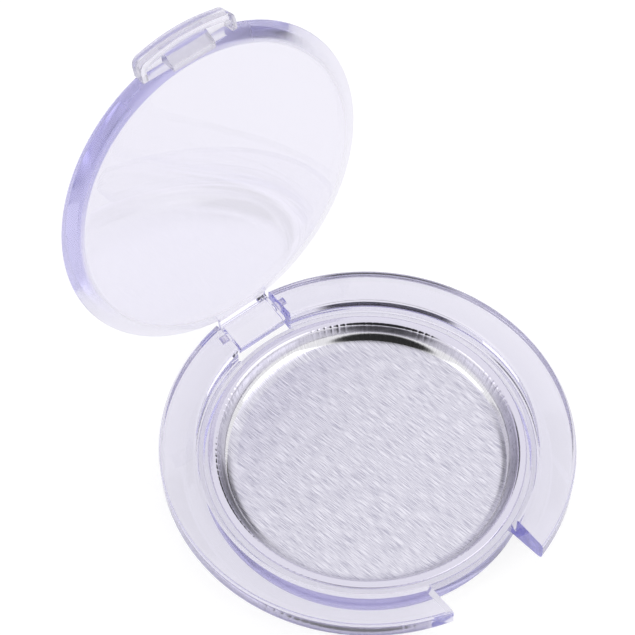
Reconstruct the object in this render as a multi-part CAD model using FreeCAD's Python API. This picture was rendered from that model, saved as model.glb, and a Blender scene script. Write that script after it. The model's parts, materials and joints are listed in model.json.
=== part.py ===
import FreeCAD, Part
import math
import os

os.makedirs("parts", exist_ok=True)

# A round hinged case with one metal pan, in millimetres. It stands on z = 0 with its thumb notch towards -Y
# and its hinge towards +Y. The lid is drawn shut and then turned open about the hinge axis.

# Pan and the glue disc below it.
pan_diameter = 36.5
pan_height = 2.8
pan_metal = 0.3
pan_lip_width = 1.15
pan_wall_draft = 0.4
glue_thickness = 0.2
glue_radius = 6.0

# Cup, ledge and flange of the tray.
floor_thickness = 1.3
well_gap = 0.2
cup_margin = 0.65
cup_edge_round = 0.3
lip_depth = 1.5
ring_height = 1.0
ledge_thickness = 0.95
ledge_fillet = 0.7
flange_width = 3.45
flange_thickness = 2.65
flange_top_round = 0.47
flange_low_round = 0.9
recess_edge_round = 0.25

# Lid disc with its low rib.
lid_overlap = 1.15
lid_gap = 0.3
lid_thickness = 0.95
lid_sink = 0.35
lid_rise = 0.45
lid_edge_round = 0.4
rib_depth = 0.65
rib_inset = 2.3
rib_width = 0.5
rib_slope_width = 0.35
panel_thickness = 0.9
cap_flat = 0.5

# Thumb tab, its pocket and its hook, with the catch ridge that the hook passes.
tab_width = 12.6
tab_gap = 0.18
tab_inset = 1.2
tab_depth = 2.3
tab_draft_deg = 4.0
tab_bulge = 0.9
tab_corner_round = 1.1
tab_edge_round = 0.45
tab_wall = 0.7
pocket_floor = 0.9
pocket_back = 0.5
hook_width = 5.6
hook_gap = 0.3
hook_tip = 0.8
barb_height = 0.25
barb_slope = 0.2
ridge_width = 6.0
ridge_height = 0.3
ridge_drop = 0.05
ridge_tall = 0.4

# Hinge arm, with a round stub on each side that turns in a blind socket of the tray.
arm_width = 6.7
arm_gap = 0.55
arm_length = 4.1
arm_thickness = 2.1
arm_lean_deg = 21.5
arm_round = 0.35
stub_radius = 0.6
stub_running_gap = 0.05
stub_length = 0.7
socket_end_gap = 0.15
hinge_inset = 1.32
hinge_drop = 1.31
open_deg = 103.4

# Levels and radii that follow from the sizes above.
pan_radius = pan_diameter / 2
pan_top_radius = pan_radius - pan_lip_width
pan_floor_radius = pan_top_radius - pan_wall_draft
pan_low = floor_thickness + glue_thickness
lip_low = pan_low + pan_height - pan_metal
lip_top = pan_low + pan_height
case_height = lip_top + lip_depth
ledge_top = lip_low - ring_height
ledge_low = ledge_top - ledge_thickness
flange_low = case_height - flange_thickness
well_radius = pan_top_radius + pan_metal + well_gap
cup_radius = pan_radius + cup_margin
lid_radius = cup_radius + lid_overlap
recess_radius = lid_radius + lid_gap
case_radius = recess_radius + flange_width
lid_low = case_height - lid_sink
lid_top = lid_low + lid_thickness
rib_low = lid_low - rib_depth
rib_radius = lid_radius - rib_inset
tab_reach = case_radius - tab_inset
tab_low = lid_top - tab_depth
pocket_top = lid_top - pocket_floor
ridge_radius = cup_radius + ridge_height
ridge_top = lip_low - ridge_drop
ridge_low = ridge_top - ridge_tall
hook_radius = ridge_radius + hook_gap
hook_low = ridge_low - barb_height
slot_width = arm_width + 2 * arm_gap
notch_width = tab_width + 2 * tab_gap
hinge_y = recess_radius + hinge_inset
hinge_z = case_height - hinge_drop
beyond = 2 * case_radius


def rounded_chain(corners):
    # Straight edges through corners given as (radius, height, rounding); the two ends are not rounded.
    vectors = [FreeCAD.Vector(r, 0, z) for r, z, _ in corners]
    edges = []
    start = vectors[0]
    for i in range(1, len(corners) - 1):
        here = vectors[i]
        rounding = corners[i][2]
        if rounding == 0:
            edges.append(Part.makeLine(start, here))
            start = here
            continue
        back = (vectors[i - 1] - here).normalize()
        ahead = (vectors[i + 1] - here).normalize()
        half = back.getAngle(ahead) / 2
        reach = rounding / math.tan(half)
        middle = (back + ahead).normalize() * (rounding / math.sin(half) - rounding)
        edges.append(Part.makeLine(start, here + back * reach))
        edges.append(Part.Arc(here + back * reach, here + middle, here + ahead * reach).toShape())
        start = here + ahead * reach
    edges.append(Part.makeLine(start, vectors[-1]))
    return edges


def cap_section(radius, edge, top):
    # The section of a shallow cap, from its edge to a small flat round its top, and the level of that flat.
    rise = top - edge
    ball = (radius ** 2 + rise ** 2) / (2 * rise)
    points = []
    for r in (radius, radius / 2, cap_flat):
        points.append(FreeCAD.Vector(r, 0, top - ball + math.sqrt(ball ** 2 - r ** 2)))
    return Part.Arc(*points).toShape(), points[2].z


def turned(edges):
    # A solid of revolution about Z from a closed chain of edges in the XZ plane.
    face = Part.Face(Part.Wire(edges))
    return face.revolve(FreeCAD.Vector(0, 0, 0), FreeCAD.Vector(0, 0, 1), 360)


def across(corners, width):
    # A prism of the given width along X, centred, from corners given as (y, height, rounding).
    closed = corners + [corners[0]]
    face = Part.Face(Part.Wire(rounded_chain(closed)))
    face.rotate(FreeCAD.Vector(0, 0, 0), FreeCAD.Vector(0, 0, 1), 90)
    prism = face.extrude(FreeCAD.Vector(width, 0, 0))
    prism.translate(FreeCAD.Vector(-width / 2, 0, 0))
    return prism


def block(width, y_low, y_high, z_low, z_high):
    corner = FreeCAD.Vector(-width / 2, y_low, z_low)
    return Part.makeBox(width, y_high - y_low, z_high - z_low, corner)


def rod_along_x(radius, x_low, x_high):
    start = FreeCAD.Vector(x_low, hinge_y, hinge_z)
    return Part.makeCylinder(radius, x_high - x_low, start, FreeCAD.Vector(1, 0, 0))


def make_cup():
    # The round cup that the pan drops into; its top edge is the ring the pan's lip rests on.
    return turned(rounded_chain([
        (0, floor_thickness, 0),
        (0, 0, 0),
        (cup_radius, 0, cup_edge_round),
        (cup_radius, lip_low, 0.15),
        (well_radius, lip_low, 0.15),
        (well_radius, floor_thickness, 0.4),
        (0, floor_thickness, 0),
    ]))


def make_flange():
    # The ledge round the cup, the recess wall and the wide flange, with the notch and the hinge slot cut out.
    inside = cup_radius - well_gap
    flange = turned(rounded_chain([
        (inside, ledge_top, 0),
        (inside, ledge_low, 0),
        (case_radius, flange_low, flange_low_round),
        (case_radius, case_height, flange_top_round),
        (recess_radius, case_height, recess_edge_round),
        (recess_radius, ledge_top, ledge_fillet),
        (inside, ledge_top, 0),
    ]))
    notch = block(notch_width, -beyond, 0, -1, beyond)
    slot = block(slot_width, 0, beyond, -1, beyond)
    return flange.cut(notch).cut(slot)


def make_ridge():
    # The catch ridge on the cup's wall inside the notch, sloped above and below.
    root = -cup_radius + well_gap * 2
    slope = ridge_tall / 3
    return across([
        (root, ridge_top, 0),
        (-cup_radius, ridge_top, 0),
        (-ridge_radius, ridge_top - slope, 0.05),
        (-ridge_radius, ridge_low + slope, 0.05),
        (-cup_radius, ridge_low, 0),
        (root, ridge_low, 0),
    ], ridge_width)


def make_tray():
    tray = make_cup().fuse(make_flange()).fuse(make_ridge())
    reach = slot_width / 2 + stub_length + socket_end_gap
    return tray.cut(rod_along_x(stub_radius + stub_running_gap, -reach, reach)).removeSplitter()


def make_pan():
    # A drawn round pan with a flat floor, a slightly sloped wall and a rounded lip.
    return turned(rounded_chain([
        (0, pan_low + pan_metal, 0),
        (0, pan_low, 0),
        (pan_floor_radius + pan_metal, pan_low, 0.9),
        (pan_top_radius + pan_metal, lip_low, 0.15),
        (pan_radius, lip_low, 0),
        (pan_radius, lip_top, pan_metal * 0.9),
        (pan_top_radius, lip_top, 0.35),
        (pan_floor_radius, pan_low + pan_metal, 0.6),
        (0, pan_low + pan_metal, 0),
    ]))


def make_glue():
    return Part.makeCylinder(glue_radius, glue_thickness, FreeCAD.Vector(0, 0, floor_thickness))


def make_disc():
    # The lid's disc: softly domed above, with a low rib below whose outer side slopes up to the edge.
    dome_radius = lid_radius - lid_edge_round * 1.5
    panel_radius = rib_radius - rib_width - rib_slope_width
    hollow_radius = panel_radius * 0.95
    hollow_edge = lid_top - panel_thickness + lid_rise * (1 - (hollow_radius / dome_radius) ** 2)
    hollow_top = lid_top - panel_thickness + lid_rise
    dome_top = lid_top + lid_rise
    edges = rounded_chain([
        (dome_radius, lid_top, 0),
        (lid_radius, lid_top, lid_edge_round),
        (lid_radius, lid_low, 0.25),
        (rib_radius, rib_low, 0.2),
        (rib_radius - rib_width, rib_low, 0.2),
        (panel_radius, hollow_edge, 0.3),
        (hollow_radius, hollow_edge, 0),
    ])
    hollow, hollow_flat = cap_section(hollow_radius, hollow_edge, hollow_top)
    dome, dome_flat = cap_section(dome_radius, lid_top, dome_top)
    middle = rounded_chain([
        (cap_flat, hollow_flat, 0),
        (0, hollow_flat, 0),
        (0, dome_flat, 0),
        (cap_flat, dome_flat, 0),
    ])
    return turned(edges + [hollow] + middle + [dome])


def tab_section(level, inset, y_back):
    # The outline of the tab at one level: straight sides and back, and a front bowed like the case.
    shrink = inset + (level - tab_low) * math.tan(math.radians(tab_draft_deg))
    half = tab_width / 2 - shrink
    front = -tab_reach + shrink
    corners = [(half, front + tab_bulge), (half, y_back), (-half, y_back), (-half, front + tab_bulge)]
    points = [FreeCAD.Vector(x, y, level) for x, y in corners]
    edges = [Part.makeLine(points[i], points[i + 1]) for i in range(3)]
    edges.append(Part.Arc(points[3], FreeCAD.Vector(0, front, level), points[0]).toShape())
    return Part.Wire(edges)


def make_tab():
    # The thumb tab, a drafted box with rounded outer corners and a rounded upper edge.
    y_back = -hook_radius
    tab = Part.makeLoft([tab_section(tab_low, 0, y_back), tab_section(lid_top, 0, y_back)], True, True)
    corners = []
    for edge in tab.Edges:
        box = edge.BoundBox
        if box.ZLength > tab_depth / 2 and box.YMax < y_back - tab_corner_round:
            corners.append(edge)
    tab = tab.makeFillet(tab_corner_round, corners)
    rim = []
    for edge in tab.Edges:
        box = edge.BoundBox
        if box.ZMin > lid_top - 0.01 and box.YMin < y_back - 0.01:
            rim.append(edge)
    return tab.makeFillet(tab_edge_round, rim)


def make_pocket():
    # The hollow below the tab, which also takes a bite out of the lid's rib.
    y_back = -rib_radius - pocket_back
    low = tab_low - 1
    return Part.makeLoft([tab_section(low, tab_wall, y_back), tab_section(pocket_top, tab_wall, y_back)], True, True)


def make_hook():
    # The hook in the pocket: upright towards the ridge, with a small barb below it and a sloped outer side.
    barb = hook_radius - hook_gap / 2
    root = lid_top - pocket_floor / 2
    return across([
        (-hook_radius, root, 0),
        (-hook_radius, ridge_low + barb_slope, 0),
        (-barb, ridge_low, 0),
        (-barb, hook_low + barb_slope / 2, 0),
        (-hook_radius, hook_low, 0),
        (-hook_radius - hook_tip, hook_low, 0.2),
        (-tab_reach + tab_wall * 2, rib_low, 0),
        (-tab_reach + tab_wall * 2, root, 0),
    ], hook_width)


def make_arm():
    # The hinge arm, which leans back as it goes down through the slot.
    lean = math.radians(arm_lean_deg)
    down_y = arm_length * math.sin(lean)
    down_z = -arm_length * math.cos(lean)
    back_y = arm_thickness * math.cos(lean)
    back_z = arm_thickness * math.sin(lean)
    middle = (lid_low + lid_top) / 2
    top_y = lid_radius + back_y + (middle + back_z - lid_top) * math.tan(lean)
    arm = across([
        (lid_radius - lid_edge_round * 1.5, lid_top, 0),
        (lid_radius - lid_edge_round * 1.5, middle, 0),
        (lid_radius, middle, 0),
        (lid_radius + down_y, middle + down_z, arm_round),
        (lid_radius + down_y + back_y, middle + down_z + back_z, arm_round * 2),
        (top_y, lid_top, arm_round * 2),
    ], arm_width)
    reach = slot_width / 2 + stub_length
    return arm.fuse(rod_along_x(stub_radius, -reach, reach))


def make_lid():
    lid = make_disc().fuse(make_tab()).cut(make_pocket())
    lid = lid.fuse(make_hook()).fuse(make_arm()).removeSplitter()
    lid.rotate(FreeCAD.Vector(0, hinge_y, hinge_z), FreeCAD.Vector(1, 0, 0), -open_deg)
    return lid


def save(name, shape):
    solid = shape.Solids[0] if len(shape.Solids) == 1 else shape
    solid.exportStep("parts/" + name + ".step")
    print(name, len(shape.Solids), round(shape.Volume, 2), shape.isValid())


save("tray", make_tray())
save("pan", make_pan())
save("glue_disc", make_glue())
save("lid", make_lid())
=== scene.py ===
import json
import math

import bmesh
import bpy
from mathutils import Matrix, Vector


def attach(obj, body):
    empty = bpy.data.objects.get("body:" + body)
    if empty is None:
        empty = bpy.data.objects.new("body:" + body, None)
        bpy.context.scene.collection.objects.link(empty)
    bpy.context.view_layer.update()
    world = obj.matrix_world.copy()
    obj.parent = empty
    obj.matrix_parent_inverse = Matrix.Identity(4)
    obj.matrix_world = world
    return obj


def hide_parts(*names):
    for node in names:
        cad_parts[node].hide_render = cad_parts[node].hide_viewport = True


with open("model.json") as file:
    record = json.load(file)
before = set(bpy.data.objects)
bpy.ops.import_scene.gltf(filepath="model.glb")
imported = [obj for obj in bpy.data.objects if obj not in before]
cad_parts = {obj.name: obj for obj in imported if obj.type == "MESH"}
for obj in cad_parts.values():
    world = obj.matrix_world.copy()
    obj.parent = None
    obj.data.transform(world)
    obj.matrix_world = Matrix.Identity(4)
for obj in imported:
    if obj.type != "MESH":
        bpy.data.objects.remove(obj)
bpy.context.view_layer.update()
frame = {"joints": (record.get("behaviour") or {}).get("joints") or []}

mm = 0.001
hair = 1e-4  # millimetres: points closer than this are one point
hinge = frame["joints"][0]
hingeAt = Vector(hinge["pos_m"])
openDeg = hinge["range_deg"][1]
print("frame loaded, lid open by", openDeg, "degrees")


# helpers for colours, nodes and meshes
def hexColour(code):
    parts = [int(code[i:i + 2], 16) / 255 for i in (1, 3, 5)]
    linear = [p / 12.92 if p <= 0.04045 else ((p + 0.055) / 1.055) ** 2.4 for p in parts]
    return (*linear, 1.0)


def addNode(tree, kind, inputs=(), **settings):
    node = tree.nodes.new(kind)
    for key, value in settings.items():
        setattr(node, key, value)
    for key, value in dict(inputs).items():
        if isinstance(value, bpy.types.NodeSocket):
            tree.links.new(value, node.inputs[key])
        else:
            node.inputs[key].default_value = value
    return node


def emptyMaterial(name):
    material = bpy.data.materials.new(name)
    material.use_nodes = True
    material.node_tree.nodes.clear()
    return material, material.node_tree


def roundedLine(corners, stepDeg=10):
    # corners are (a, b, rounding); a rounded corner becomes an arc
    points = []
    for i, (a, b, rounding) in enumerate(corners):
        here = Vector((a, b))
        if rounding == 0 or i in (0, len(corners) - 1):
            points.append(here)
            continue
        back = (Vector(corners[i - 1][:2]) - here).normalized()
        ahead = (Vector(corners[i + 1][:2]) - here).normalized()
        half = back.angle(ahead) / 2
        centre = here + (back + ahead).normalized() * (rounding / math.sin(half))
        spoke = here + back * (rounding / math.tan(half)) - centre
        turn = math.copysign(math.pi - 2 * half, back.x * ahead.y - back.y * ahead.x)
        count = max(2, math.ceil(abs(math.degrees(turn)) / stepDeg))
        for k in range(count + 1):
            points.append(centre + Matrix.Rotation(-turn * k / count, 2) @ spoke)
    return points


def closedRound(corners, stepDeg=10):
    # the same for a closed outline: start and end on the middle of the first side
    middle = (Vector(corners[0][:2]) + Vector(corners[-1][:2])) / 2
    line = [(*middle, 0)] + list(corners) + [(*middle, 0)]
    return roundedLine(line, stepDeg)[1:-1]


def meshObject(name, points, faces):
    mesh = bpy.data.meshes.new(name)
    mesh.from_pydata([tuple(p) for p in points], [], faces)
    piece = bpy.data.objects.new(name, mesh)
    bpy.context.scene.collection.objects.link(piece)
    return piece


def tidyMesh(piece, mergeAt=hair):
    # doubles merged and faces turned outwards, in millimetres
    bm = bmesh.new()
    bm.from_mesh(piece.data)
    bmesh.ops.remove_doubles(bm, verts=bm.verts, dist=mergeAt)
    bmesh.ops.dissolve_degenerate(bm, edges=bm.edges, dist=mergeAt / 10)
    # a joint between two pieces can leave a sliver open
    bmesh.ops.holes_fill(bm, edges=[e for e in bm.edges if len(e.link_faces) == 1], sides=6)
    bmesh.ops.recalc_face_normals(bm, faces=bm.faces)
    loose = sum(1 for e in bm.edges if len(e.link_faces) != 2)
    volume = round(bm.calc_volume(), 1)
    print(piece.name, "faces", len(bm.faces), "open edges", loose, "volume mm3", volume)
    bm.to_mesh(piece.data)
    bm.free()


def bakeModifiers(piece):
    bpy.context.view_layer.update()
    graph = bpy.context.evaluated_depsgraph_get()
    mesh = bpy.data.meshes.new_from_object(piece.evaluated_get(graph), depsgraph=graph)
    piece.modifiers.clear()
    piece.data = mesh


def combine(piece, tool, operation):
    cut = piece.modifiers.new(operation, "BOOLEAN")
    cut.operation = operation
    cut.solver = "EXACT"
    cut.object = tool
    bakeModifiers(piece)
    bpy.data.objects.remove(tool)


def smoothShade(piece, sharpDeg=32):
    piece.data.polygons.foreach_set("use_smooth", [True] * len(piece.data.polygons))
    piece.data.set_sharp_from_angle(angle=math.radians(sharpDeg))
    flow = piece.modifiers.new("evenNormals", "WEIGHTED_NORMAL")
    flow.mode = "FACE_AREA"
    flow.weight = 80
    flow.keep_sharp = True
    bakeModifiers(piece)


def stack(name, outlines):
    # outlines of equal length, one above the other, closed below and above
    count = len(outlines[0])
    points = [p for outline in outlines for p in outline]
    faces = [list(range(count))[::-1], list(range(len(points) - count, len(points)))]
    for level in range(len(outlines) - 1):
        for k in range(count):
            low, nextLow = level * count + k, level * count + (k + 1) % count
            faces.append([low, nextLow, nextLow + count, low + count])
    return meshObject(name, points, faces)


def finishPiece(piece, body, slot, *nodes):
    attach(piece, body)
    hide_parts(*nodes)
    print(piece.name, "placed on", body)


# materials
def clearStyrene(name, look):
    # clear polystyrene from a polished mould: sharp reflections, a faint lavender that gathers along the
    # thick edges, and slow ripples where the melt flowed
    material, tree = emptyMaterial(name)
    place = addNode(tree, "ShaderNodeTexCoord").outputs["Object"]
    flow = addNode(tree, "ShaderNodeTexNoise", {
        "Vector": place, "Scale": 1 / (look["flowMm"] * mm), "Detail": 1.0, "Roughness": 0.4})
    ripple = addNode(tree, "ShaderNodeBump", {
        "Height": flow.outputs["Fac"], "Strength": look["rippleStrength"],
        "Distance": look["rippleMm"] * mm})
    haze = addNode(tree, "ShaderNodeTexNoise", {
        "Vector": place, "Scale": 1 / (look["hazeMm"] * mm), "Detail": 3.0})
    polish = addNode(tree, "ShaderNodeMapRange", {
        "Value": haze.outputs["Fac"], 1: 0.35, 2: 0.75, 3: look["smoothest"], 4: look["dullest"]})
    texture = addNode(tree, "ShaderNodeAttribute", attribute_name="satin")
    dull = addNode(tree, "ShaderNodeMath", {
        0: texture.outputs["Fac"], 1: look["satin"], 2: polish.outputs["Result"]}, operation="MULTIPLY_ADD")
    # the base colour is the plastic's faint lavender with painted shade: a grey dimming of all that is seen
    # through it
    clear = addNode(tree, "ShaderNodeBsdfPrincipled", {
        "Base Color": hexColour(look["tintWithPaintedShade"]), "Roughness": dull.outputs[0], "IOR": look["ior"],
        "Transmission Weight": 1.0, "Normal": ripple.outputs["Normal"]})
    passing = addNode(tree, "ShaderNodeBsdfTransparent", {"Color": hexColour(look["shadowTint"])})
    path = addNode(tree, "ShaderNodeLightPath")
    surface = addNode(tree, "ShaderNodeMixShader", {
        0: path.outputs["Is Shadow Ray"], 1: clear.outputs["BSDF"], 2: passing.outputs["BSDF"]})
    depth = addNode(tree, "ShaderNodeVolumeAbsorption", {
        "Color": hexColour(look["depthTint"]), "Density": look["depthPerMm"] / mm})
    addNode(tree, "ShaderNodeOutputMaterial", {
        "Surface": surface.outputs["Shader"], "Volume": depth.outputs["Volume"]})
    return material


def brushedAluminium(name, look):
    # bare aluminium sheet, brushed one way: fine streaks that run from hinge to notch and catch the light
    material, tree = emptyMaterial(name)
    place = addNode(tree, "ShaderNodeTexCoord").outputs["Object"]
    turned = addNode(tree, "ShaderNodeMapping", {
        "Vector": place, "Rotation": (0, 0, math.radians(look["strokeTurnDeg"]))})
    fine = addNode(tree, "ShaderNodeMapping", {"Vector": turned.outputs["Vector"], "Scale": (
        1 / (look["strokeMm"] * mm), 1 / (look["strokeLongMm"] * mm), 1)})
    streaks = addNode(tree, "ShaderNodeTexNoise", {
        "Vector": fine.outputs["Vector"], "Scale": 1.0, "Detail": 2.0, "Roughness": 0.7})
    broad = addNode(tree, "ShaderNodeMapping", {"Vector": turned.outputs["Vector"], "Scale": (
        1 / (look["bandMm"] * mm), 1 / (look["bandLongMm"] * mm), 1)})
    bands = addNode(tree, "ShaderNodeTexNoise", {
        "Vector": broad.outputs["Vector"], "Scale": 1.0, "Detail": 2.0})
    sheen = addNode(tree, "ShaderNodeMix", {
        0: look["bandShare"], 2: streaks.outputs["Fac"], 3: bands.outputs["Fac"]})
    colour = addNode(tree, "ShaderNodeValToRGB", {"Fac": sheen.outputs[0]})
    colour.color_ramp.elements[0].position = 0.38
    colour.color_ramp.elements[0].color = hexColour(look["dark"])
    colour.color_ramp.elements[1].position = 0.62
    colour.color_ramp.elements[1].color = hexColour(look["light"])
    rough = addNode(tree, "ShaderNodeMapRange", {
        "Value": sheen.outputs[0], 1: 0.3, 2: 0.7, 3: look["roughLow"], 4: look["roughHigh"]})
    relief = addNode(tree, "ShaderNodeBump", {
        "Height": streaks.outputs["Fac"], "Strength": look["reliefStrength"],
        "Distance": look["reliefMm"] * mm})
    metal = addNode(tree, "ShaderNodeBsdfPrincipled", {
        "Base Color": colour.outputs["Color"], "Metallic": 1.0, "Roughness": rough.outputs["Result"],
        "Normal": relief.outputs["Normal"]})
    addNode(tree, "ShaderNodeOutputMaterial", {"Surface": metal.outputs["BSDF"]})
    return material


def brightAluminium(name, look):
    # aluminium drawn over a polished punch: near mirror, with faint lines down the wall
    material, tree = emptyMaterial(name)
    place = addNode(tree, "ShaderNodeTexCoord").outputs["Object"]
    split = addNode(tree, "ShaderNodeSeparateXYZ", {"Vector": place})
    around = addNode(tree, "ShaderNodeMath", {
        0: split.outputs["Y"], 1: split.outputs["X"]}, operation="ARCTAN2")
    along = addNode(tree, "ShaderNodeMath", {
        0: around.outputs[0], 1: look["wallRadiusMm"] / look["lineMm"]}, operation="MULTIPLY")
    down = addNode(tree, "ShaderNodeMath", {
        0: split.outputs["Z"], 1: 1 / (look["lineLongMm"] * mm)}, operation="MULTIPLY")
    wrapped = addNode(tree, "ShaderNodeCombineXYZ", {"X": along.outputs[0], "Y": down.outputs[0]})
    drawn = addNode(tree, "ShaderNodeTexNoise", {
        "Vector": wrapped.outputs["Vector"], "Scale": 1.0, "Detail": 2.0, "Roughness": 0.5})
    onWall = addNode(tree, "ShaderNodeMapRange", {
        "Value": split.outputs["Z"], 1: look["lipMm"] * mm, 2: look["wallTopMm"] * mm})
    lines = addNode(tree, "ShaderNodeMix", {0: onWall.outputs["Result"], 2: 0.5, 3: drawn.outputs["Fac"]})
    colour = addNode(tree, "ShaderNodeValToRGB", {"Fac": lines.outputs[0]})
    colour.color_ramp.elements[0].position = 0.3
    colour.color_ramp.elements[0].color = hexColour(look["dark"])
    colour.color_ramp.elements[1].position = 0.7
    colour.color_ramp.elements[1].color = hexColour(look["light"])
    # the lip gets its own colour: aluminium grey with a painted reflection of the lavender plastic beside it
    lipAndWallColour = addNode(tree, "ShaderNodeMix", {
        "Factor": onWall.outputs["Result"], "A": hexColour(look["lip"]),
        "B": colour.outputs["Color"]}, data_type="RGBA")
    rough = addNode(tree, "ShaderNodeMapRange", {
        "Value": lines.outputs[0], 1: 0.3, 2: 0.7, 3: look["roughLow"], 4: look["roughHigh"]})
    relief = addNode(tree, "ShaderNodeBump", {
        "Height": lines.outputs[0], "Strength": look["reliefStrength"],
        "Distance": look["reliefMm"] * mm})
    metal = addNode(tree, "ShaderNodeBsdfPrincipled", {
        "Base Color": lipAndWallColour.outputs[2], "Metallic": 1.0, "Roughness": rough.outputs["Result"],
        "Normal": relief.outputs["Normal"]})
    addNode(tree, "ShaderNodeOutputMaterial", {"Surface": metal.outputs["BSDF"]})
    return material


def hotMeltGlue(name, look):
    # hot melt glue pressed flat: milky, with small trapped bubbles and a soft waxy shine
    material, tree = emptyMaterial(name)
    place = addNode(tree, "ShaderNodeTexCoord").outputs["Object"]
    bubbles = addNode(tree, "ShaderNodeTexVoronoi", {
        "Vector": place, "Scale": 1 / (look["bubbleMm"] * mm)})
    clouds = addNode(tree, "ShaderNodeTexNoise", {
        "Vector": place, "Scale": 1 / (look["cloudMm"] * mm), "Detail": 3.0})
    colour = addNode(tree, "ShaderNodeValToRGB", {"Fac": clouds.outputs["Fac"]})
    colour.color_ramp.elements[0].color = hexColour(look["dark"])
    colour.color_ramp.elements[1].color = hexColour(look["light"])
    relief = addNode(tree, "ShaderNodeBump", {
        "Height": bubbles.outputs["Distance"], "Strength": look["reliefStrength"],
        "Distance": look["reliefMm"] * mm})
    wax = addNode(tree, "ShaderNodeBsdfPrincipled", {
        "Base Color": colour.outputs["Color"], "Roughness": look["rough"], "IOR": look["ior"],
        "Subsurface Weight": look["milky"], "Subsurface Scale": look["milkyMm"] * mm,
        "Normal": relief.outputs["Normal"]})
    addNode(tree, "ShaderNodeOutputMaterial", {"Surface": wax.outputs["BSDF"]})
    return material


# the tints are greyer than clear polystyrene: painted shade standing in for a greyer backdrop seen through
# the plastic
styreneLook = {
    "tintWithPaintedShade": "#E9E7F0", "shadowTint": "#F6F5FB", "depthTint": "#8E84F0", "depthPerMm": 0.012, "ior": 1.59,
    "flowMm": 9.0, "rippleMm": 0.02, "rippleStrength": 0.25,
    "hazeMm": 3.0, "smoothest": 0.0, "dullest": 0.03, "satin": 0.25,
}
trayPlastic = clearStyrene("clearPolystyreneMoulded", styreneLook)
# the lid's tint holds painted shade in the same way
lidPlastic = clearStyrene("clearPolystyreneLid", {**styreneLook, "tintWithPaintedShade": "#EBE9F2"})
# real brush strokes are finer than these, which are as coarse as they need to be to show
floorMetal = brushedAluminium("brushedAluminiumSheet", {
    "dark": "#B9B7C8", "light": "#F3F1FB", "strokeTurnDeg": -9.3,
    "strokeMm": 0.08, "strokeLongMm": 2.2, "bandMm": 0.5, "bandLongMm": 6.0, "bandShare": 0.06,
    "roughLow": 0.26, "roughHigh": 0.34, "reliefStrength": 0.1, "reliefMm": 0.015,
})
# the lip colour holds a painted reflection of the lavender plastic beside the pan
wallMetal = brightAluminium("drawnAluminiumBright", {
    "dark": "#D6D5DA", "light": "#F0EFF3", "lip": "#DCD9E8", "lipMm": 4.1, "wallTopMm": 3.9,
    "wallRadiusMm": 17.0, "lineMm": 0.16, "lineLongMm": 2.5,
    "roughLow": 0.06, "roughHigh": 0.16, "reliefStrength": 0.15, "reliefMm": 0.01,
})
gluePaste = hotMeltGlue("hotMeltGluePressed", {
    "dark": "#D8D4C6", "light": "#F0EEE6", "rough": 0.5, "ior": 1.48, "milky": 0.3, "milkyMm": 0.3,
    "bubbleMm": 0.7, "cloudMm": 2.2, "reliefStrength": 0.3, "reliefMm": 0.03,
})
print("materials made")


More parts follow.
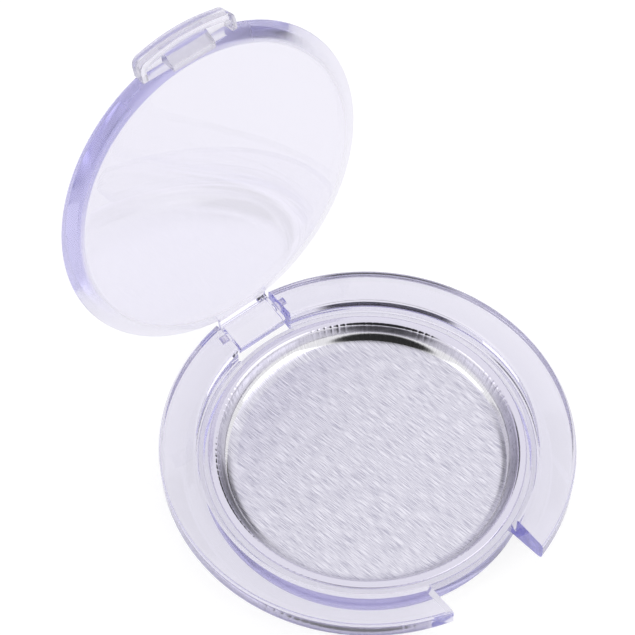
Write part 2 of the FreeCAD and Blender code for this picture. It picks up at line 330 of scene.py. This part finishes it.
# a section spun round the axis, with an optional ripple between two heights
def spunTree(materialNear, materialFar):
    tree = bpy.data.node_groups.new("spunSection", "GeometryNodeTree")
    sockets = {}
    for label, kind, start in (
            ("Geometry", "NodeSocketGeometry", None), ("Segments", "NodeSocketInt", 96),
            ("Ripple Depth", "NodeSocketFloat", 0.0), ("Ripple Count", "NodeSocketFloat", 100.0),
            ("Ripple Low", "NodeSocketFloat", 0.0), ("Ripple High", "NodeSocketFloat", 1.0),
            ("Ripple Floor", "NodeSocketFloat", -1.0), ("Ripple Sharpness", "NodeSocketFloat", 1.0),
            ("Near Radius", "NodeSocketFloat", 0.0), ("Seed", "NodeSocketFloat", 0.0)):
        socket = tree.interface.new_socket(name=label, in_out="INPUT", socket_type=kind)
        if start is not None:
            socket.default_value = start
        sockets[label] = socket.identifier
    tree.interface.new_socket(name="Geometry", in_out="OUTPUT", socket_type="NodeSocketGeometry")
    given = addNode(tree, "NodeGroupInput").outputs
    size = addNode(tree, "GeometryNodeAttributeDomainSize", {
        "Geometry": given["Geometry"]}, component="MESH")
    lap = addNode(tree, "ShaderNodeMath", {0: given["Segments"], 1: 1.0}, operation="ADD")
    grid = addNode(tree, "GeometryNodeMeshGrid", {
        "Vertices X": size.outputs["Point Count"], "Vertices Y": lap.outputs[0]})
    index = addNode(tree, "GeometryNodeInputIndex").outputs["Index"]
    share = addNode(tree, "ShaderNodeMath", {0: index, 1: lap.outputs[0]}, operation="DIVIDE")
    ring = addNode(tree, "ShaderNodeMath", {0: share.outputs[0]}, operation="FLOOR")
    step = addNode(tree, "ShaderNodeMath", {0: index, 1: lap.outputs[0]}, operation="MODULO")
    turn = addNode(tree, "ShaderNodeMath", {0: step.outputs[0], 1: given["Segments"]}, operation="DIVIDE")
    angle = addNode(tree, "ShaderNodeMath", {0: turn.outputs[0], 1: 2 * math.pi}, operation="MULTIPLY")
    section = addNode(tree, "GeometryNodeSampleIndex", {
        "Geometry": given["Geometry"], "Value": addNode(tree, "GeometryNodeInputPosition").outputs[0],
        "Index": ring.outputs[0]}, data_type="FLOAT_VECTOR", domain="POINT", clamp=True)
    parts = addNode(tree, "ShaderNodeSeparateXYZ", {0: section.outputs[0]}).outputs
    cosine = addNode(tree, "ShaderNodeMath", {0: angle.outputs[0]}, operation="COSINE")
    sine = addNode(tree, "ShaderNodeMath", {0: angle.outputs[0]}, operation="SINE")
    rise = addNode(tree, "ShaderNodeMapRange", {
        "Value": parts["Z"], 1: given["Ripple Low"], 2: given["Ripple High"]},
        interpolation_type="SMOOTHSTEP")
    wave = addNode(tree, "ShaderNodeMath", {
        0: angle.outputs[0], 1: given["Ripple Count"]}, operation="MULTIPLY")
    swing = addNode(tree, "ShaderNodeMath", {0: wave.outputs[0]}, operation="SINE")
    half = addNode(tree, "ShaderNodeMath", {
        0: swing.outputs[0], 1: given["Ripple Floor"]}, operation="MAXIMUM")
    crest = addNode(tree, "ShaderNodeMath", {
        0: half.outputs[0], 1: given["Ripple Sharpness"]}, operation="POWER")
    # the ripple comes and goes round the ring, and dies out at the axis
    uneven = addNode(tree, "ShaderNodeCombineXYZ", {
        "X": cosine.outputs[0], "Y": sine.outputs[0], "Z": given["Seed"]})
    patch = addNode(tree, "ShaderNodeTexNoise", {"Vector": uneven.outputs[0], "Scale": 4.0, "Detail": 2.0})
    lift = addNode(tree, "ShaderNodeMapRange", {"Value": patch.outputs["Fac"], 1: 0.42, 2: 0.62})
    bump = addNode(tree, "ShaderNodeMath", {
        0: crest.outputs[0], 1: lift.outputs["Result"]}, operation="MULTIPLY")
    high = addNode(tree, "ShaderNodeMath", {
        0: bump.outputs[0], 1: rise.outputs["Result"]}, operation="MULTIPLY")
    push = addNode(tree, "ShaderNodeMath", {
        0: high.outputs[0], 1: given["Ripple Depth"]}, operation="MULTIPLY")
    offAxis = addNode(tree, "ShaderNodeMapRange", {"Value": parts["X"]})
    shift = addNode(tree, "ShaderNodeMath", {
        0: push.outputs[0], 1: offAxis.outputs["Result"]}, operation="MULTIPLY")
    radius = addNode(tree, "ShaderNodeMath", {0: parts["X"], 1: shift.outputs[0]}, operation="ADD")
    x = addNode(tree, "ShaderNodeMath", {0: radius.outputs[0], 1: cosine.outputs[0]}, operation="MULTIPLY")
    y = addNode(tree, "ShaderNodeMath", {0: radius.outputs[0], 1: sine.outputs[0]}, operation="MULTIPLY")
    spot = addNode(tree, "ShaderNodeCombineXYZ", {"X": x.outputs[0], "Y": y.outputs[0], "Z": parts["Z"]})
    moved = addNode(tree, "GeometryNodeSetPosition", {
        "Geometry": grid.outputs["Mesh"], "Position": spot.outputs[0]})
    joined = addNode(tree, "GeometryNodeMergeByDistance", {"Geometry": moved.outputs[0], "Distance": hair})
    real = addNode(tree, "GeometryNodeRealizeInstances", {"Geometry": joined.outputs[0]})
    far = addNode(tree, "GeometryNodeSetMaterial", {"Geometry": real.outputs[0], "Material": materialFar})
    flat = addNode(tree, "ShaderNodeVectorMath", {
        0: addNode(tree, "GeometryNodeInputPosition").outputs[0], 1: (1, 1, 0)}, operation="MULTIPLY")
    reach = addNode(tree, "ShaderNodeVectorMath", {0: flat.outputs[0]}, operation="LENGTH")
    inside = addNode(tree, "FunctionNodeCompare", {
        0: reach.outputs["Value"], 1: given["Near Radius"]}, operation="LESS_THAN")
    near = addNode(tree, "GeometryNodeSetMaterial", {
        "Geometry": far.outputs[0], "Selection": inside.outputs[0], "Material": materialNear})
    addNode(tree, "NodeGroupOutput", {"Geometry": near.outputs[0]})
    return tree, sockets


def spinSection(name, section, materials, **inputs):
    tree, sockets = spunTree(*materials)
    points = [(p[0], 0, p[1]) for p in section]
    piece = meshObject(name, points, [])
    spin = piece.modifiers.new("spin", "NODES")
    spin.node_group = tree
    for label, value in inputs.items():
        spin[sockets[label.replace("_", " ")]] = value
    bakeModifiers(piece)
    return piece


def toMetres(piece):
    piece.data.transform(Matrix.Scale(mm, 4))


# pan: drawn sheet metal with a brushed floor, a bright wall and a rounded lip
panLook = {
    "radius": 18.25, "lipTop": 4.3, "lipLow": 4.0, "low": 1.5, "metal": 0.3,
    "topRadius": 17.1, "floorRadius": 16.7, "floorRound": 2.2, "lipRound": 0.7,
    "edgeRound": 0.18, "underRound": 0.09, "neckRound": 0.15, "footRound": 0.9,
    "segments": 1072, "brushedRadius": 16.0,
    # marks of the draw at the wall's top
    "marks": 134.0, "markDepth": -0.05, "markLow": 2.7, "markHigh": 3.85, "markSharpness": 4.0, "seed": 3.0,
}


def buildPan(look):
    metal = look["metal"]
    section = roundedLine([
        (0, look["low"] + metal, 0),
        (look["floorRadius"], look["low"] + metal, look["floorRound"]),
        (look["topRadius"], look["lipTop"], look["lipRound"]),
        (look["radius"], look["lipTop"], look["edgeRound"]),
        (look["radius"], look["lipLow"], look["underRound"]),
        (look["topRadius"] + metal, look["lipLow"], look["neckRound"]),
        (look["floorRadius"] + metal, look["low"], look["footRound"]),
        (0, look["low"], 0),
    ], stepDeg=12)
    pan = spinSection("pressedPan", section, (floorMetal, wallMetal), Segments=look["segments"],
                      Ripple_Depth=look["markDepth"], Ripple_Count=look["marks"],
                      Ripple_Low=look["markLow"], Ripple_High=look["markHigh"],
                      Ripple_Floor=0.0, Ripple_Sharpness=look["markSharpness"],
                      Near_Radius=look["brushedRadius"], Seed=look["seed"])
    tidyMesh(pan)
    smoothShade(pan)
    toMetres(pan)
    return pan


pan = buildPan(panLook)
finishPiece(pan, "case", "pan_metal", "pan")


# glue below the pan, pressed out to an uneven spot
glueLook = {
    "radius": 5.4, "low": 1.31, "top": 1.49, "edge": 0.08, "segments": 120,
    "lobes": 7.0, "lobeDepth": 0.45, "seed": 8.0, "mergeAt": 1e-3,
}


def buildGlue(look):
    section = roundedLine([
        (0, look["top"], 0), (look["radius"], look["top"], look["edge"]),
        (look["radius"], look["low"], look["edge"]), (0, look["low"], 0)])
    glue = spinSection("glueSpot", section, (gluePaste, gluePaste), Segments=look["segments"],
                       Ripple_Depth=look["lobeDepth"], Ripple_Count=look["lobes"], Seed=look["seed"])
    tidyMesh(glue, look["mergeAt"])
    smoothShade(glue)
    toMetres(glue)
    return glue


glue = buildGlue(glueLook)
finishPiece(glue, "case", "glue", "glue_disc")


# tray: cup, ledge and flange in one moulding, cut through by the thumb notch and the hinge slot
trayLook = {
    "cupRadius": 18.9, "wellRadius": 17.6, "floor": 1.3, "ringTop": 3.99,
    "footRound": 0.3, "ringRound": 0.15, "wellRound": 0.4,
    "ledgeTop": 3.0, "ledgeLow": 2.05, "recessRadius": 19.6, "ledgeFillet": 0.12, "recessRound": 0.3,
    "caseRadius": 23.8, "caseTop": 5.8, "flangeLow": 3.15, "topRound": 0.47, "lowRound": 0.9,
    "notchHalf": 6.48, "slotHalf": 3.9, "poleRadius": 1.5,
    "ridgeHalf": 3.0, "ridgeProud": 0.3, "ridgeLevels": (3.44, 3.56, 3.72, 3.83), "ridgeEase": 0.15,
    "socketRadius": 0.65, "socketDepth": 0.85, "socketSides": 40,
    "flangeSteps": 170, "notchSteps": 64, "slotSteps": 32,
}


def ringPoint(radius, z, turn):
    # turn is measured from the notch, towards +X
    return (radius * math.sin(turn), -radius * math.cos(turn), z)


def buildTray(look):
    cup = look["cupRadius"]
    below = roundedLine([
        (look["poleRadius"], 0, 0), (cup, 0, look["footRound"]), (cup, look["ledgeLow"], 0)])
    flange = roundedLine([
        (cup, look["ledgeLow"], 0),
        (look["caseRadius"], look["flangeLow"], look["lowRound"]),
        (look["caseRadius"], look["caseTop"], look["topRound"]),
        (look["recessRadius"], look["caseTop"], look["recessRound"]),
        (look["recessRadius"], look["ledgeTop"], look["ledgeFillet"]),
        (cup, look["ridgeLevels"][-1], 0)], stepDeg=7)
    bareSide = [Vector((cup, z)) for z in look["ridgeLevels"]]
    above = roundedLine([
        (cup, look["ledgeTop"], 0), (cup, look["ringTop"], look["ringRound"]),
        (look["wellRadius"], look["ringTop"], look["ringRound"]),
        (look["wellRadius"], look["floor"], look["wellRound"]), (look["poleRadius"], look["floor"], 0)])[1:]
    points, faces = [], []

    def sheet(section, start, end, steps, shape=None):
        # a strip of the section between two turns; returns its first and last column
        base = len(points)
        for k in range(steps + 1):
            for radius, z in section:
                first, last = start(radius), end(radius)
                turn = first + (last - first) * k / steps
                wide = radius + shape(radius, z, turn) if shape else radius
                points.append(ringPoint(wide, z, turn))
        count = len(section)
        for k in range(steps):
            for i in range(count - 1):
                a = base + k * count + i
                faces.append([a, a + 1, a + count + 1, a + count])
        return base, base + steps * count

    def ridge(radius, z, turn):
        onWall = abs(radius - cup) < hair and z in look["ridgeLevels"][1:3]
        away = (abs(cup * math.sin(turn)) - look["ridgeHalf"]) / look["ridgeEase"]
        return look["ridgeProud"] * min(1, max(0, 1 - away)) if onWall else 0

    def notchTurn(radius):
        return math.asin(look["notchHalf"] / max(radius, cup))

    def slotTurn(radius):
        return math.pi - math.asin(look["slotHalf"] / max(radius, cup))

    whole = below + flange[1:] + above
    bare = below + bareSide + above
    capRows = range(len(below) - 1, len(below) + len(flange) - 1)
    caps = []

    def capLoop(column, turn):
        # the cut face's outline: round the flange, then down the bare cup wall
        wall = range(len(points), len(points) + len(bareSide) - 1)
        points.extend(ringPoint(cup, p.y, turn) for p in reversed(bareSide[:-1]))
        return [column + i for i in capRows] + list(wall)

    for side in (1, -1):
        first, last = sheet(
            whole, lambda r: side * notchTurn(r), lambda r: side * slotTurn(r), look["flangeSteps"])
        faces.append(capLoop(first, side * notchTurn(cup)))
        caps.append(capLoop(last, side * slotTurn(cup)))
    sheet(bare, lambda r: -notchTurn(r), notchTurn, look["notchSteps"], ridge)
    sheet(bare, slotTurn, lambda r: 2 * math.pi - slotTurn(r), look["slotSteps"])
    tray = meshObject("trayMoulding", points, faces)
    bm = bmesh.new()
    bm.from_mesh(tray.data)
    bm.verts.ensure_lookup_table()
    capLoops = [[bm.verts[i] for i in cap] for cap in caps]
    for loop, side in zip(capLoops, (1, -1)):
        addSocket(bm, loop, side, look)
    bmesh.ops.remove_doubles(bm, verts=bm.verts, dist=hair)
    for z in (0, look["floor"]):
        level = [v for v in bm.verts if abs(v.co.z - z) < hair]
        rim = [v for v in level if v.co.xy.length < look["poleRadius"] + hair]
        rim.sort(key=lambda v: math.atan2(v.co.y, v.co.x))
        bm.faces.new(rim)
    bm.to_mesh(tray.data)
    bm.free()
    tidyMesh(tray)
    smoothShade(tray)
    toMetres(tray)
    return tray


def addSocket(bm, loop, side, look):
    # the slot's wall with a blind round socket for the hinge stub
    x = side * look["slotHalf"]
    deep = x + side * look["socketDepth"]
    at = hingeAt / mm
    sides, radius = look["socketSides"], look["socketRadius"]
    turns = [2 * math.pi * k / sides for k in range(sides)]
    rings = []
    for depth in (x, deep):
        rings.append([
            bm.verts.new((depth, at.y + radius * math.cos(t), at.z + radius * math.sin(t))) for t in turns])
    edges = []
    for ring in (loop, rings[0]):
        for a, b in zip(ring, ring[1:] + ring[:1]):
            edges.append(bm.edges.get((a, b)) or bm.edges.new((a, b)))
    bmesh.ops.triangle_fill(bm, use_beauty=True, use_dissolve=False, edges=edges)
    for k in range(sides):
        n = (k + 1) % sides
        bm.faces.new((rings[0][k], rings[0][n], rings[1][n], rings[1][k]))
    bm.faces.new(rings[1])


tray = buildTray(trayLook)
tray.data.materials.append(trayPlastic)
finishPiece(tray, "case", "clear_tray", "tray")


# lid: drawn shut, then turned open about the hinge
lidLook = {
    "radius": 20.05, "top": 6.4, "low": 5.92, "rise": 0.45, "domeRadius": 19.45, "rimEase": 0.08,
    "shoulderStart": 16.1, "shoulderRadius": 17.6, "shoulderDrop": 0.3, "shoulderRound": 6.0,
    "faceRadius": 17.85, "faceLow": 4.8, "faceRound": 0.3, "faceRise": 0.15,
    "borderRadius": 19.95, "borderSatin": 1.2, "segments": 400, "domeRings": 26,
    "tabWidth": 12.6, "tabReach": 22.6, "tabLow": 4.1, "tabDraftDeg": 4.0, "tabBulge": 0.9, "tabBack": -19.5,
    "tabCorner": 1.1, "tabRound": 0.45, "tabFoot": 0.12, "tabWall": 0.7,
    "pocketTop": 5.5, "pocketBack": -18.25, "pocketCorner": 0.25, "pocketEase": 0.2,
    "hookWidth": 5.6, "hookRoot": 5.95, "hookLow": 3.3, "hookTip": 0.8, "hookGap": 0.3,
    "hookRound": 0.2, "hookEase": 0.06, "barbTop": 3.55, "barbSlope": 0.2,
    "armStart": 5.925, "armWidth": 6.7, "armLength": 4.1, "armThick": 2.1, "armLeanDeg": 21.5,
    "armRound": 0.35, "armEase": 0.08,
    "stubRadius": 0.6, "stubReach": 4.6, "stubEase": 0.1, "stubSides": 40,
    # tab and arm end a little below the lid's top level, so that no faces coincide
    "tabSink": 0.004, "armSink": 0.003,
}


def capCurve(radius, edge, top, count):
    # a shallow ball's section, from its edge to the axis
    rise = top - edge
    ball = (radius ** 2 + rise ** 2) / (2 * rise)
    line = []
    for k in range(count + 1):
        r = radius * (1 - k / count)
        line.append(Vector((r, top - ball + math.sqrt(ball ** 2 - r ** 2))))
    return line


def buildDisc(look):
    # domed top, bevelled border and an almost flat inner face
    start = look["shoulderStart"]
    flatRadius = look["faceRadius"] - 2 * look["faceRound"]

    def domeZ(radius):
        return look["top"] + look["rise"] * (1 - (radius / look["domeRadius"]) ** 2)

    rim = roundedLine([
        (start, domeZ(start), 0),
        (look["shoulderRadius"], domeZ(look["shoulderRadius"]), look["shoulderRound"]),
        (look["radius"], look["top"] - look["shoulderDrop"], look["rimEase"]),
        (look["radius"], look["low"], look["rimEase"]),
        (look["faceRadius"], look["faceLow"], look["faceRound"]),
        (flatRadius, look["faceLow"], 0)], stepDeg=8)
    dome = capCurve(start, domeZ(start), look["top"] + look["rise"], look["domeRings"])
    face = capCurve(flatRadius, look["faceLow"], look["faceLow"] + look["faceRise"], look["domeRings"])
    section = dome[::-1] + rim[1:] + face[1:]
    disc = spinSection("lidMoulding", section, (lidPlastic, lidPlastic), Segments=look["segments"])
    tidyMesh(disc)
    return disc


def tabOutline(look, level, inset, back, corner):
    # straight sides with draft, rounded corners and a bowed front
    cornerSteps, bowSteps = 8, 12
    shrink = inset + (level - look["tabLow"]) * math.tan(math.radians(look["tabDraftDeg"]))
    half = look["tabWidth"] / 2 - shrink
    front = -look["tabReach"] + shrink
    flat = half - corner

    def bow(x):
        return front + look["tabBulge"] * (x / half) ** 2

    right = [(half, back)]
    for k in range(cornerSteps + 1):
        turn = math.pi / 2 * k / cornerSteps
        right.append((flat + corner * math.cos(turn), bow(flat) + corner * (1 - math.sin(turn))))
    for k in range(1, bowSteps):
        x = flat * (1 - k / bowSteps)
        right.append((x, bow(x)))
    outline = right + [(0, bow(0))] + [(-x, y) for x, y in reversed(right)]
    return [(x, y, level) for x, y in outline]


def buildTab(look):
    low, foot, rounding = look["tabLow"], look["tabFoot"], look["tabRound"]
    top = look["top"] - look["tabSink"]
    roundSteps = 8
    levels = [(low, foot), (low + foot / 3, foot / 3), (low + foot, 0.0)]
    for k in range(roundSteps + 1):
        turn = math.pi / 2 * k / roundSteps
        levels.append((top - rounding * (1 - math.sin(turn)), rounding * (1 - math.cos(turn))))
    return stack("tab", [
        tabOutline(look, z, inset, look["tabBack"], look["tabCorner"]) for z, inset in levels])


def buildPocket(look):
    wall, top, ease = look["tabWall"], look["pocketTop"], look["pocketEase"]
    below = look["tabLow"] - 1
    levels = [(below, wall), (top - ease, wall), (top - 0.3 * ease, wall + 0.3 * ease), (top, wall + ease)]
    return stack("pocket", [
        tabOutline(look, z, inset, look["pocketBack"], look["pocketCorner"]) for z, inset in levels])


def prism(name, corners, width, edge):
    # an outline in (y, z) drawn out along X, with its two ends eased
    outline = closedRound(corners)
    middle = sum(outline, Vector((0, 0))) / len(outline)
    half = width / 2
    rows = []
    for x, inset in ((-half, edge), (-half + edge, 0), (half - edge, 0), (half, edge)):
        row = []
        for p in outline:
            away = p - middle
            q = middle + away * (1 - inset / max(away.length, hair))
            row.append((x, q.x, q.y))
        rows.append(row)
    return stack(name, rows)


def buildHook(look):
    wall = -look["tabBack"]
    barb = wall - look["hookGap"] / 2
    outer = look["tabReach"] - 2 * look["tabWall"]
    root = look["hookRoot"]
    return prism("hook", [
        (-wall, root, 0), (-wall, look["barbTop"] + look["barbSlope"], 0), (-barb, look["barbTop"], 0),
        (-barb, look["hookLow"] + look["barbSlope"] / 2, 0), (-wall, look["hookLow"], 0),
        (-wall - look["hookTip"], look["hookLow"], look["hookRound"]),
        (-outer, look["faceLow"], look["hookRound"]), (-outer, root, 0)],
        look["hookWidth"], look["hookEase"])


def buildArm(look):
    lean = math.radians(look["armLeanDeg"])
    down = Vector((math.sin(lean), -math.cos(lean))) * look["armLength"]
    back = Vector((math.cos(lean), math.sin(lean))) * look["armThick"]
    inner = look["domeRadius"]
    start = Vector((look["radius"], look["armStart"]))
    tip, heel = start + down, start + down + back
    top = look["top"] - look["armSink"]
    topY = start.x + back.x + (start.y + back.y - look["top"]) * math.tan(lean)
    return prism("arm", [
        (inner, top, 0), (inner, start.y, 0), (*start, 0), (*tip, look["armRound"]),
        (*heel, look["armRound"] * 2), (topY, top, look["armRound"] * 2)],
        look["armWidth"], look["armEase"])


def buildStubs(look):
    # one bar through the arm; its two ends are the hinge stubs
    at = hingeAt / mm
    reach, radius, ease = look["stubReach"], look["stubRadius"], look["stubEase"]
    turns = [2 * math.pi * k / look["stubSides"] for k in range(look["stubSides"])]
    ends = ((-reach, radius - ease), (-reach + ease, radius), (reach - ease, radius), (reach, radius - ease))
    rows = []
    for x, r in ends:
        rows.append([(x, at.y + r * math.cos(t), at.z + r * math.sin(t)) for t in turns])
    return stack("stubs", rows)


def shutTilt():
    at = Matrix.Translation(hingeAt)
    return at @ Matrix.Rotation(-math.radians(openDeg), 4, "X") @ at.inverted()


def markSatin(lid, look):
    # the bevelled border and the tab are finely textured; the inner face and the top are polished
    satin = lid.data.attributes.new("satin", "FLOAT", "POINT")
    values = []
    for vertex in lid.data.vertices:
        reach = vertex.co.xy.length
        inBorder = look["faceRadius"] < reach < look["borderRadius"] and vertex.co.z < look["low"]
        inTab = vertex.co.y < -look["faceRadius"] and vertex.co.z < look["top"] - look["tabRound"]
        values.append(look["borderSatin"] if inBorder else 1.0 if inTab else 0.0)
    satin.data.foreach_set("value", values)


def buildLid(look):
    lid = buildDisc(look)
    for make, operation in (
            (buildTab, "UNION"), (buildPocket, "DIFFERENCE"), (buildHook, "UNION"),
            (buildArm, "UNION"), (buildStubs, "UNION")):
        tool = make(look)
        tidyMesh(tool)
        combine(lid, tool, operation)
    lid.data.materials.clear()
    lid.data.materials.append(lidPlastic)
    lid.data.polygons.foreach_set("material_index", [0] * len(lid.data.polygons))
    tidyMesh(lid)
    smoothShade(lid)
    markSatin(lid, look)
    toMetres(lid)
    lid.data.transform(shutTilt())
    return lid


lid = buildLid(lidLook)
finishPiece(lid, "cover", "clear_lid", "lid")
print("pieces built")


# stage: white sweep, three soft boxes and a pale room
stageLook = {
    "floorSize": 3.0, "floorDropMm": 0.15, "paper": "#FFFFFF", "paperShare": 0.35, "glow": 0.76,
    "paperUnseen": "#EDEDED", "room": "#FFFFFF", "roomLight": 1.0,
    # darker places of the room: direction, half angle in degrees, light left there
    "gaps": (
        ((-0.61, -0.53, 0.56), 28, 0.03), ((0.93, 0.2, 0.3), 15, 0.05), ((-0.15, 0.8, 0.58), 13, 0.08)),
    # soft boxes: name, direction, size in metres, watts
    "boxDistance": 0.5,
    "boxes": (
        ("softBoxFrontRight", (0.4, -0.65, 0.65), (0.4, 0.3), 0.26),
        ("softBoxBack", (0.25, 0.5, 0.825), (0.34, 0.34), 0.01),
        ("softBoxLeft", (-0.75, 0.3, 0.6), (0.2, 0.2), 0.07)),
}


def sweepPaper(look):
    # white paper sweep: it glows a little for what is seen of it, and keeps the soft shadow
    material, tree = emptyMaterial("whitePaperSweep")
    path = addNode(tree, "ShaderNodeLightPath").outputs
    seen = addNode(tree, "ShaderNodeMath", {
        0: path["Is Camera Ray"], 1: path["Is Glossy Ray"]}, operation="MAXIMUM")
    shown = addNode(tree, "ShaderNodeMath", {
        0: seen.outputs[0], 1: path["Is Transmission Ray"]}, operation="MAXIMUM")
    share = [c * look["paperShare"] for c in hexColour(look["paper"])[:3]]
    lit = addNode(tree, "ShaderNodeBsdfDiffuse", {"Color": (*share, 1.0)})
    glow = addNode(tree, "ShaderNodeEmission", {
        "Color": hexColour(look["paper"]), "Strength": look["glow"]})
    both = addNode(tree, "ShaderNodeAddShader", {0: lit.outputs[0], 1: glow.outputs[0]})
    plain = addNode(tree, "ShaderNodeBsdfDiffuse", {"Color": hexColour(look["paperUnseen"])})
    surface = addNode(tree, "ShaderNodeMixShader", {
        0: shown.outputs[0], 1: plain.outputs[0], 2: both.outputs[0]})
    addNode(tree, "ShaderNodeOutputMaterial", {"Surface": surface.outputs[0]})
    return material


def buildFloor(look):
    half, drop = look["floorSize"] / 2, -look["floorDropMm"] * mm
    floor = meshObject("paperSweep", [
        (-half, -half, drop), (half, -half, drop), (half, half, drop), (-half, half, drop)], [[0, 1, 2, 3]])
    floor.data.materials.append(sweepPaper(look))


def buildRoom(look):
    world = bpy.data.worlds.new("paleRoom")
    world.use_nodes = True
    tree = world.node_tree
    tree.nodes.clear()
    direction = addNode(tree, "ShaderNodeTexCoord").outputs["Generated"]
    level = addNode(tree, "ShaderNodeValue").outputs[0]
    level.default_value = look["roomLight"]
    for towards, halfDeg, left in look["gaps"]:
        near = addNode(tree, "ShaderNodeVectorMath", {
            0: direction, 1: Vector(towards).normalized()}, operation="DOT_PRODUCT")
        opening = addNode(tree, "ShaderNodeMapRange", {
            "Value": near.outputs["Value"], 1: math.cos(math.radians(halfDeg * 1.15)),
            2: math.cos(math.radians(halfDeg * 0.85)), 3: 1.0, 4: left}, interpolation_type="SMOOTHSTEP")
        level = addNode(tree, "ShaderNodeMath", {
            0: level, 1: opening.outputs["Result"]}, operation="MULTIPLY").outputs[0]
    # the camera itself sees the room as plain white
    seen = addNode(tree, "ShaderNodeLightPath").outputs["Is Camera Ray"]
    shown = addNode(tree, "ShaderNodeMath", {0: level, 1: seen}, operation="MAXIMUM")
    light = addNode(tree, "ShaderNodeBackground", {
        "Color": hexColour(look["room"]), "Strength": shown.outputs[0]})
    addNode(tree, "ShaderNodeOutputWorld", {"Surface": light.outputs[0]})
    bpy.context.scene.world = world


def softBox(name, towards, distance, size, watts):
    lamp = bpy.data.lights.new(name, "AREA")
    lamp.shape = "RECTANGLE"
    lamp.size, lamp.size_y = size
    lamp.energy = watts
    box = bpy.data.objects.new(name, lamp)
    bpy.context.scene.collection.objects.link(box)
    direction = Vector(towards).normalized()
    box.location = direction * distance
    box.rotation_mode = "QUATERNION"
    box.rotation_quaternion = direction.to_track_quat("Z", "Y")


buildFloor(stageLook)
buildRoom(stageLook)
for name, towards, size, watts in stageLook["boxes"]:
    softBox(name, towards, stageLook["boxDistance"], size, watts)
print("stage set")


# camera: the photograph's angle
cameraLook = {
    "aimHeightMm": 5.8, "distanceMm": 286.75, "towards": (-0.3413, -0.3978, 0.8516),
    "back": (-0.3512, -0.4423, 0.8253), "lens": 142.5, "sensor": 36.0,
}


def buildCamera(look):
    camera = bpy.data.objects.new("camera", bpy.data.cameras.new("camera"))
    bpy.context.scene.collection.objects.link(camera)
    camera.data.lens = look["lens"]
    camera.data.sensor_width = look["sensor"]
    camera.data.clip_start = 0.01
    aim = Vector((0, 0, look["aimHeightMm"] * mm))
    camera.location = aim + Vector(look["towards"]) * look["distanceMm"] * mm
    camera.rotation_mode = "QUATERNION"
    camera.rotation_quaternion = (-Vector(look["back"])).to_track_quat("-Z", "Y")
    bpy.context.scene.camera = camera


buildCamera(cameraLook)
bpy.context.scene.view_settings.view_transform = "Standard"
# light passes many walls of clear plastic before it reaches the paper
cycles = bpy.context.scene.cycles
cycles.max_bounces = 64
cycles.transmission_bounces = 64
cycles.glossy_bounces = 64
cycles.transparent_max_bounces = 24
